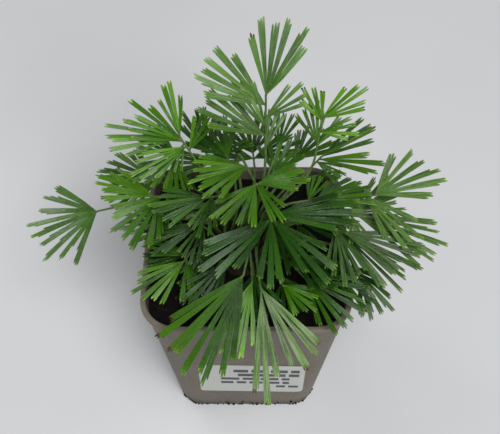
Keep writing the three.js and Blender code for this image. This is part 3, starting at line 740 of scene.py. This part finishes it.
def make_peat(material):
    build = Build()
    gap = 0.25  # between the peat and the pot
    surface = []
    steps = 46  # rings from the middle to the wall
    outline = body_outline(SOIL_TOP - 1, -WALL - gap)
    dense = []
    for a, b in zip(outline, outline[1:] + outline[:1]):
        parts = max(1, round((Vector(a) - Vector(b)).length / 2.2))
        dense += [Vector(a).lerp(Vector(b), i / parts) for i in range(parts)]
    for i in range(steps, 0, -1):
        share = i / steps
        ring = []
        for p in dense:
            x, y = p.x * share, p.y * share
            ring.append(build.point((x, y, peat_height(x, y))))
        surface.append(ring)
    low = [[build.point((p.x, p.y, SOIL_TOP - 6)) for p in dense]]
    shrink = (BASE_WIDTH / 2 - WALL - gap) / (body_width / 2 - WALL - gap)
    low.append([build.point((p.x * shrink, p.y * shrink, FLOOR + gap)) for p in dense])
    build.rings([low[1], low[0]] + surface)
    middle = build.point((0, 0, peat_height(0, 0)))
    for a, b in zip(surface[-1], surface[-1][1:] + surface[-1][:1]):
        build.face((a, b, middle))
    build.face(list(reversed(low[1])))
    chance = random.Random(11)
    half = body_width / 2 - WALL - 2.5
    for _ in range(PEAT_CRUMBS):
        x, y = chance.uniform(-half, half), chance.uniform(-half, half)
        if abs(x) > half - 8 and abs(y) > half - 8:
            continue
        size = 0.25 + 0.9 * chance.random() ** 3
        crumb(build, (x, y, peat_height(x, y) + 0.25 * size), size, chance,
              (0, 0, chance.random()))
    finish_piece(build.to_object("peat_bed", [material], 50), "peat", "soil")


def make_strays(material):
    """Peat that has dried onto the pot, most of it along the foot."""
    build = Build()
    chance = random.Random(23)
    for _ in range(STRAY_CRUMBS):
        if chance.random() < FOOT_SHARE:
            z = 0.7 + 5 * chance.random() ** 3
        else:
            z = chance.uniform(FOOT_DIRT, DIRT_TOP)
        outline = body_outline(z, 0)
        flat = chance.random() < 0.6
        at = chance.randrange(4) * (ARC_STEPS + 1) if flat else chance.randrange(len(outline))
        size = (0.25 + 0.75 * chance.random() ** 3) * (1 if z < FOOT_DIRT else 0.4)
        place = Vector(outline[at]).lerp(Vector(outline[at - 1]), chance.random())
        place.z = max(place.z, CRUMB_REACH * size)
        crumb(build, place, size, chance, (0, 0, 0.6 * chance.random()))
    finish_piece(build.to_object("stray_peat", [material], 50), "peat")


def crown_height(distance):
    share = min(distance / CROWN_RADIUS, 1)
    return SOIL_TOP + FIT_GAP + CROWN_HEIGHT * (1 - share * share)


def make_crown(material):
    build = Build()
    turns = [2 * math.pi * j / CROWN_SIDES for j in range(CROWN_SIDES)]
    rings = []
    for i in range(CROWN_RINGS, 0, -1):
        distance = CROWN_RADIUS * i / CROWN_RINGS
        ring = []
        for angle in turns:
            x, y = distance * math.cos(angle), distance * math.sin(angle)
            wave = 0.5 * lump((x, y, 0), 4, 5) + 0.35 * lump((x, y, 0), 1.8, 6) - 0.3
            ring.append(build.point((x, y, crown_height(distance) + wave)))
        rings.append(ring)
    wide = 1.02 * CROWN_RADIUS
    skirt = [build.point((wide * math.cos(angle), wide * math.sin(angle), SOIL_TOP - 2.5))
             for angle in turns]
    build.rings([skirt] + rings)
    build.face(list(reversed(skirt)))
    top = build.point((0, 0, crown_height(0)))
    for a, b in zip(rings[-1], rings[-1][1:] + rings[-1][:1]):
        build.face((a, b, top))
    chance = random.Random(3)
    for i in range(CROWN_SCALES):
        distance = CROWN_RADIUS * math.sqrt((i + 0.5) / CROWN_SCALES)
        angle = i * GOLDEN_ANGLE
        x, y = distance * math.cos(angle), distance * math.sin(angle)
        scale_leaf(build, (x, y, crown_height(distance) - 0.5), angle, chance)
    finish_piece(build.to_object("crown_mound", [material], 50), "crown_wood", "crown")


def scale_leaf(build, root, angle, chance):
    """A small pointed scale that stands out of the crown."""
    long = chance.uniform(1.4, 3.0)
    wide = chance.uniform(0.35, 0.6)
    out = Vector((math.cos(angle), math.sin(angle), chance.uniform(0.3, 1.6))).normalized()
    side = Vector((-math.sin(angle), math.cos(angle), 0))
    face = out.cross(side)
    value = (0, 0, chance.random())
    rings = []
    for share, width in ((0, 0.6), (0.35, 1), (0.75, 0.5), (1, 0.06)):
        spine = Vector(root) + out * long * share
        rings.append([build.point(spine + side * a * wide * width + face * b * 0.12, value)
                      for a, b in ((1, 0), (0, 1), (-1, 0), (0, -1))])
    build.rings([list(reversed(ring)) for ring in rings])
    build.face(rings[0])
    build.face(list(reversed(rings[-1])))


# ---------------------------------------------------------------- fern

STIPE_STEPS = 26  # steps along a stem
STATION = 1.1  # spacing of the points along a blade
STRIP_WIDTH = 1.0  # at their shoulders, blades are made of strips about this wide
SHOULDER = 0.72  # where a blade narrows to its tip, as a share of its free part
PARTING = 0.7  # where blades part, against the distance at which equal blades would touch
FLARE = 1.8  # how much wider a blade is at its shoulder than where it parts
BLADE_SHARE = 0.9  # how much of the room between its neighbours a blade may fill
RIM_THICKNESS = 0.26
GAP_WIDTH = 0.11  # the gap on each side of a parted strip, as a share of the strip
GAP_OPENING = 0.035  # how fast it opens, per millimetre
PLEAT = 0.14  # how far the middle of a strip rises above its edges


def scatter(seed):
    return 2 * ((seed * GOLDEN) % 1) - 1


def frond_frame(heading, pitch, roll):
    """The directions along a frond's straight stretch, to its left and up from its face."""
    turn = Matrix.Rotation(math.radians(heading), 3, "Z") \
        @ Matrix.Rotation(math.radians(-pitch), 3, "Y") \
        @ Matrix.Rotation(math.radians(roll), 3, "X")
    return turn.col[0].copy(), turn.col[1].copy(), turn.col[2].copy()


def stipe_path(foot, bend, hub, along, steps):
    chord = (bend - foot).length
    handles = (foot, foot + Vector((0, 0, STIPE_RISE * chord)),
               bend - along * STIPE_SWEEP * chord, bend)
    straight = (hub - bend).length
    share = chord / (chord + straight)
    points = []
    for i in range(steps + 1):
        t = i / steps
        if t < share:
            u = t / share
            weights = ((1 - u) ** 3, 3 * u * (1 - u) ** 2, 3 * u * u * (1 - u), u ** 3)
            points.append(sum((w * h for w, h in zip(weights, handles)), Vector()))
        else:
            points.append(bend.lerp(hub, (t - share) / (1 - share)))
    return points


def tube(build, path, radii, values, slot, sides=8):
    """A closed tube along a path, with its own radius and value at each point."""
    rings = []
    across = Vector((1, 0, 0))
    for i, spot in enumerate(path):
        ahead = (path[min(i + 1, len(path) - 1)] - path[max(i - 1, 0)]).normalized()
        across = (across - ahead * across.dot(ahead)).normalized()
        over = ahead.cross(across)
        rings.append([build.point(
            spot + (across * math.cos(a) + over * math.sin(a)) * radii[i], values[i],
        ) for a in (2 * math.pi * j / sides for j in range(sides))])
    build.rings(rings, slot)
    build.face(list(reversed(rings[0])), slot)
    build.face(rings[-1], slot)


class Fan:
    """One fan of blades: a sheet of narrow strips that part from each other towards their tips."""

    def __init__(self, build, fan, frame_axes, hub, seed, looks, browned):
        back, turn, spread, self.reach, self.blades, fused, cup = fan
        along, left, up = frame_axes
        turn, cup = math.radians(turn), math.radians(cup)
        flat = along * math.cos(turn) + left * math.sin(turn)
        self.out = flat * math.cos(cup) + up * math.sin(cup)
        self.face = up * math.cos(cup) - flat * math.sin(cup)
        self.side = self.face.cross(self.out)
        self.hub = hub - along * back
        self.build = build
        self.chance = random.Random(1000 + seed)
        self.step = math.radians(spread) / self.blades
        self.fork = PARTING * fused * self.reach
        self.seed = seed
        shoulder = self.fork + SHOULDER * (1 - EDGE_SHORTENING) * (self.reach - self.fork)
        self.flare = min(FLARE, BLADE_SHARE * shoulder / self.fork)
        self.strips = max(2, round(self.fork * self.step * self.flare / STRIP_WIDTH))
        tone_and_shade, painted_sheen, teeth = looks
        self.plan_blades(tone_and_shade, painted_sheen, browned)
        self.plan_stations()
        self.plan_strips(teeth)
        self.sheet = {}
        self.points = []
        self.faces = []

    def plan_blades(self, tone_and_shade, painted_sheen, browned):
        half = self.blades * self.step / 2
        self.bounds = []
        for i in range(self.blades + 1):
            shift = 0 if i in (0, self.blades) else self.chance.uniform(-0.1, 0.1)
            self.bounds.append(-half + (i + shift) * self.step)
        self.free = []
        for i in range(self.blades):
            place = i - (self.blades - 1) / 2
            outward = 2 * place / (self.blades - 1) if self.blades > 1 else 0
            share = 1 - EDGE_SHORTENING * outward ** 2 + LENGTH_SCATTER * scatter(self.seed + i)
            self.free.append((self.reach - self.fork) * share)
        self.twist = [self.chance.uniform(-0.3, 0.3) for _ in range(self.blades)]
        self.sag = [self.chance.uniform(-0.9, 0.6) for _ in range(self.blades)]
        self.lean = [self.chance.uniform(-0.05, 0.05) for _ in range(self.blades)]
        self.luck = [0.95 if i in browned else self.chance.uniform(0, 0.84)
                     for i in range(self.blades)]
        # a blade's lightness follows its frond's, which is partly painted shade
        shade = tone_and_shade + self.chance.uniform(-0.08, 0.08)
        # each blade's tint: its lightness and its share of painted sheen
        self.tint = [(min(max(shade + self.chance.uniform(-0.13, 0.13), 0), 1),
                      painted_sheen * self.chance.uniform(0.6, 1), 0) for _ in range(self.blades)]

    def plan_stations(self):
        inner = [0.5, 0.2 * self.fork, 0.4 * self.fork, 0.6 * self.fork, 0.8 * self.fork, self.fork]
        count = math.ceil((self.reach * 1.1 - self.fork) / STATION)
        self.fork_index = len(inner) - 1
        self.stations = inner + [self.fork + STATION * (i + 1) for i in range(count)]

    def plan_strips(self, teeth):
        total = self.blades * self.strips
        self.ends = []
        self.shoulders = []
        for i in range(self.blades):
            lead = self.chance.uniform(0.3, self.strips - 1.3)
            for q in range(self.strips):
                steps = max(0, abs(q - lead) - 0.75)
                share = max(0.5, 1 - teeth * steps * self.chance.uniform(0.08, 0.32))
                share -= self.chance.uniform(0, 0.05)
                end = self.fork + self.free[i] * share
                point = (0.4 + 0.6 * teeth) * self.chance.uniform(0.6, 2.4)
                limit = max(end - point, self.fork)
                last = max(k for k, s in enumerate(self.stations) if s <= limit)
                self.ends.append(end)
                self.shoulders.append(last)
        self.parted = [-1]
        for b in range(1, total):
            both = min(self.shoulders[b - 1], self.shoulders[b])
            if b % self.strips == 0:
                self.parted.append(self.fork_index - self.chance.choice((0, 0, 1, 2)))
            else:
                back = self.chance.choice((0, 0, 0, 0, 1, 3))
                self.parted.append(max(self.fork_index, both - back))
        self.parted.append(-1)

    def spot(self, blade, q, s, rise=0.0):
        """The place on a blade at strip coordinate q and distance s from the hub."""
        low, high = self.bounds[blade], self.bounds[blade + 1]
        angle = low + (high - low) * q / self.strips
        middle = (low + high) / 2
        if s <= self.fork:
            x, y = s * math.cos(angle), s * math.sin(angle)
            lift = 0.0
        else:
            ramp = (s - self.fork) / self.free[blade]
            along = self.fork * math.cos(angle - middle) + s - self.fork
            across = self.fork * math.sin(angle - middle)
            across *= 1 + (self.flare - 1) * min(ramp / SHOULDER, 1)
            away = across + self.lean[blade] * (s - self.fork)
            x = along * math.cos(middle) - away * math.sin(middle)
            y = along * math.sin(middle) + away * math.cos(middle)
            lift = across * math.tan(self.twist[blade]) * min(2 * ramp, 1)
            lift += self.sag[blade] * min(ramp, 1.1) ** 2
        z = rise + lift - LEAF_DROOP * (x * x + y * y) / self.reach
        return x, y, z

    def vertex(self, key, blade, q, s, rise=0.0):
        if key not in self.sheet:
            self.sheet[key] = len(self.points)
            end = self.fork + self.free[blade]
            grain = (blade * self.strips + q + 0.37 * self.seed, s / end, self.luck[blade])
            self.points.append((self.spot(blade, q, s, rise), grain, self.tint[blade]))
        return self.sheet[key]

    def edge(self, bound, side, strip, k):
        """The vertex where a strip meets one of its two bounds at station k."""
        blade, q = divmod(strip, self.strips)
        q += 1 if side > 0 else 0
        s = self.stations[k]
        if k <= self.parted[bound]:
            return self.vertex((bound, k), blade, q, s)
        inset = 0.0
        if 0 < bound < len(self.parted) - 1:
            parting = self.stations[self.parted[bound]]
            inset = min(GAP_WIDTH, GAP_OPENING * (s - parting))
        return self.vertex((bound, k, side), blade, q - side * inset, s)

    def grow(self):
        for strip in range(self.blades * self.strips):
            blade, q = divmod(strip, self.strips)
            last = self.shoulders[strip]
            rows = []
            for k in range(last + 1):
                s = self.stations[k]
                swell = PLEAT * min(s / self.fork, 1)
                rows.append((
                    self.edge(strip, -1, strip, k),
                    self.vertex((strip, k, "middle"), blade, q + 0.5, s, swell),
                    self.edge(strip + 1, 1, strip, k),
                ))
            skew = 0.5 + 0.22 * (2 * (q + 0.5) / self.strips - 1)
            start, end = self.stations[last], self.ends[strip]
            for i, (share, width) in enumerate(((0.45, 0.8), (0.8, 0.42))):
                s = start + (end - start) * share
                heart = q + 0.5 + (skew - 0.5) * share
                rows.append(tuple(
                    self.vertex((strip, "tip", i, a), blade, heart + a * width / 2, s,
                                PLEAT * (1 - share) * (a == 0))
                    for a in (-1, 0, 1)
                ))
            for low, high in zip(rows, rows[1:]):
                self.faces.append((low[0], high[0], high[1], low[1]))
                self.faces.append((low[1], high[1], high[2], low[2]))
            point = self.vertex((strip, "point"), blade, q + skew, end)
            self.faces.append((rows[-1][0], point, rows[-1][1]))
            self.faces.append((rows[-1][1], point, rows[-1][2]))
        self.thicken()

    def thicken(self):
        """Gives the sheet its thickness: an upper face, a lower face and a rim between them."""
        build = self.build
        upper, lower = [], []
        for (x, y, z), grain, tint in self.points:
            place = self.hub + self.out * x + self.side * y + self.face * z
            far = math.hypot(x, y) / self.reach
            half = RIM_THICKNESS * (0.85 - 0.4 * min(far, 1))
            upper.append(build.point(place + self.face * half, grain, tint))
            lower.append(build.point(place - self.face * half, grain, tint))
        border = {}
        for face in self.faces:
            build.face([upper[v] for v in face], 0)
            build.face([lower[v] for v in reversed(face)], 1)
            for a, b in zip(face, face[1:] + face[:1]):
                if (b, a) in border:
                    del border[(b, a)]
                else:
                    border[(a, b)] = True
        for a, b in border:
            build.face((upper[b], upper[a], lower[a], lower[b]), 1)


def make_frond(number, row, materials):
    (distance, direction), hub, axis, stem, fans = row
    looks = (TONES_AND_SHADE[number - 1], PAINTED_SHEEN.get(number, 0), BLUNT.get(number, 1))
    axes = frond_frame(*axis)
    direction = math.radians(direction)
    foot = Vector((
        distance * math.cos(direction),
        distance * math.sin(direction),
        crown_height(max(distance - STIPE_RADIUS, 0)) + FIT_GAP - 0.8,
    ))
    tip = Vector(hub) + Vector((0, 0, SOIL_TOP))
    bend = tip - axes[0] * stem
    build = Build()
    for i, fan in enumerate(fans):
        grown = Fan(build, fan, axes, tip, 7 * number + 3 * i, looks, BROWNED.get((number, i), ()))
        grown.grow()
        neck = min(0.22 * fan[3], 5)
        stalk = [grown.hub + grown.out * neck * a - grown.face * 0.1 for a in (-0.05, 0.3, 0.65, 1)]
        tube(build, stalk, (0.5, 0.42, 0.28, 0.08), [(0, 0.8, 0)] * 4, 2, 6)
    path = stipe_path(foot, bend, tip, axes[0], STIPE_STEPS)
    shares = [i / STIPE_STEPS for i in range(STIPE_STEPS + 1)]
    radii = [STIPE_RADIUS * (1.2 - 0.45 * share) for share in shares]
    luck = random.Random(number).random()
    tube(build, path, radii, [(0, share, luck) for share in shares], 2)
    frond = build.to_object(f"fern_frond_{number:02d}", materials)
    finish_piece(frond, "leaf", f"frond_{number:02d}")


def make_floor(material):
    build = Build()
    half = FLOOR_WIDTH / 2
    build.face([build.point((x, y, -0.05)) for x, y in
                ((-half, -half), (half, -half), (half, half), (-half, half))])
    build.to_object("floor", [material])


make_pot(pot_material())
make_label(film_material("label_film", (0.50, 0.51, 0.49), 0.45),
           film_material("label_bars", (0.07, 0.07, 0.07), 0.5))
peat_looks = peat_material()
make_peat(peat_looks)
make_strays(peat_looks)
make_crown(crown_material())
leaf_looks = [leaf_material("leaf", 0.2), leaf_material("leaf_under", 0.42), stipe_material()]
for place_in_table, frond_row in enumerate(FRONDS, 1):
    make_frond(place_in_table, frond_row, leaf_looks)
make_floor(floor_material())
